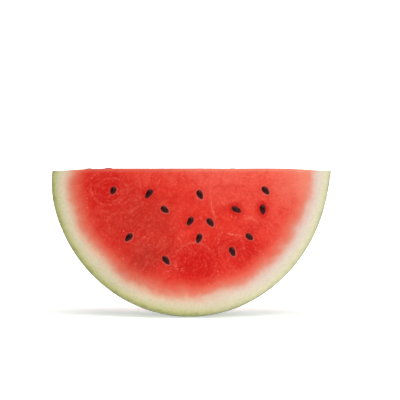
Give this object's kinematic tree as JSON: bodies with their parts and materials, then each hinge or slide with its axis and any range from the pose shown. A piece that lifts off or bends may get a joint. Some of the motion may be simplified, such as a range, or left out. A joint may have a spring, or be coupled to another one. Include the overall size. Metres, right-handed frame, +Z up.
{
  "type": "watermelon slice",
  "caption": "Thick half-round slice of watermelon with red flesh, dark seeds, pale rind and green skin, standing upright on the rind.",
  "frame": {"origin": "middle of the bounding box at the underside, on the flat spot that the slice stands on", "axes": "+X along the long level cut edge, to the right in the picture; +Y from the pictured cut face to the back one; +Z up"},
  "size_m": [0.267, 0.0748, 0.1411],
  "materials": {
    "flesh": "moist red flesh with a fine grain",
    "rind": "moist, pale cream to yellow-green",
    "skin": "smooth green with paler mottled stripes",
    "seed": "smooth, near black"
  },
  "bodies": {
    "root": {"watermelon_slice": "flesh"}
  },
  "joints": []
}
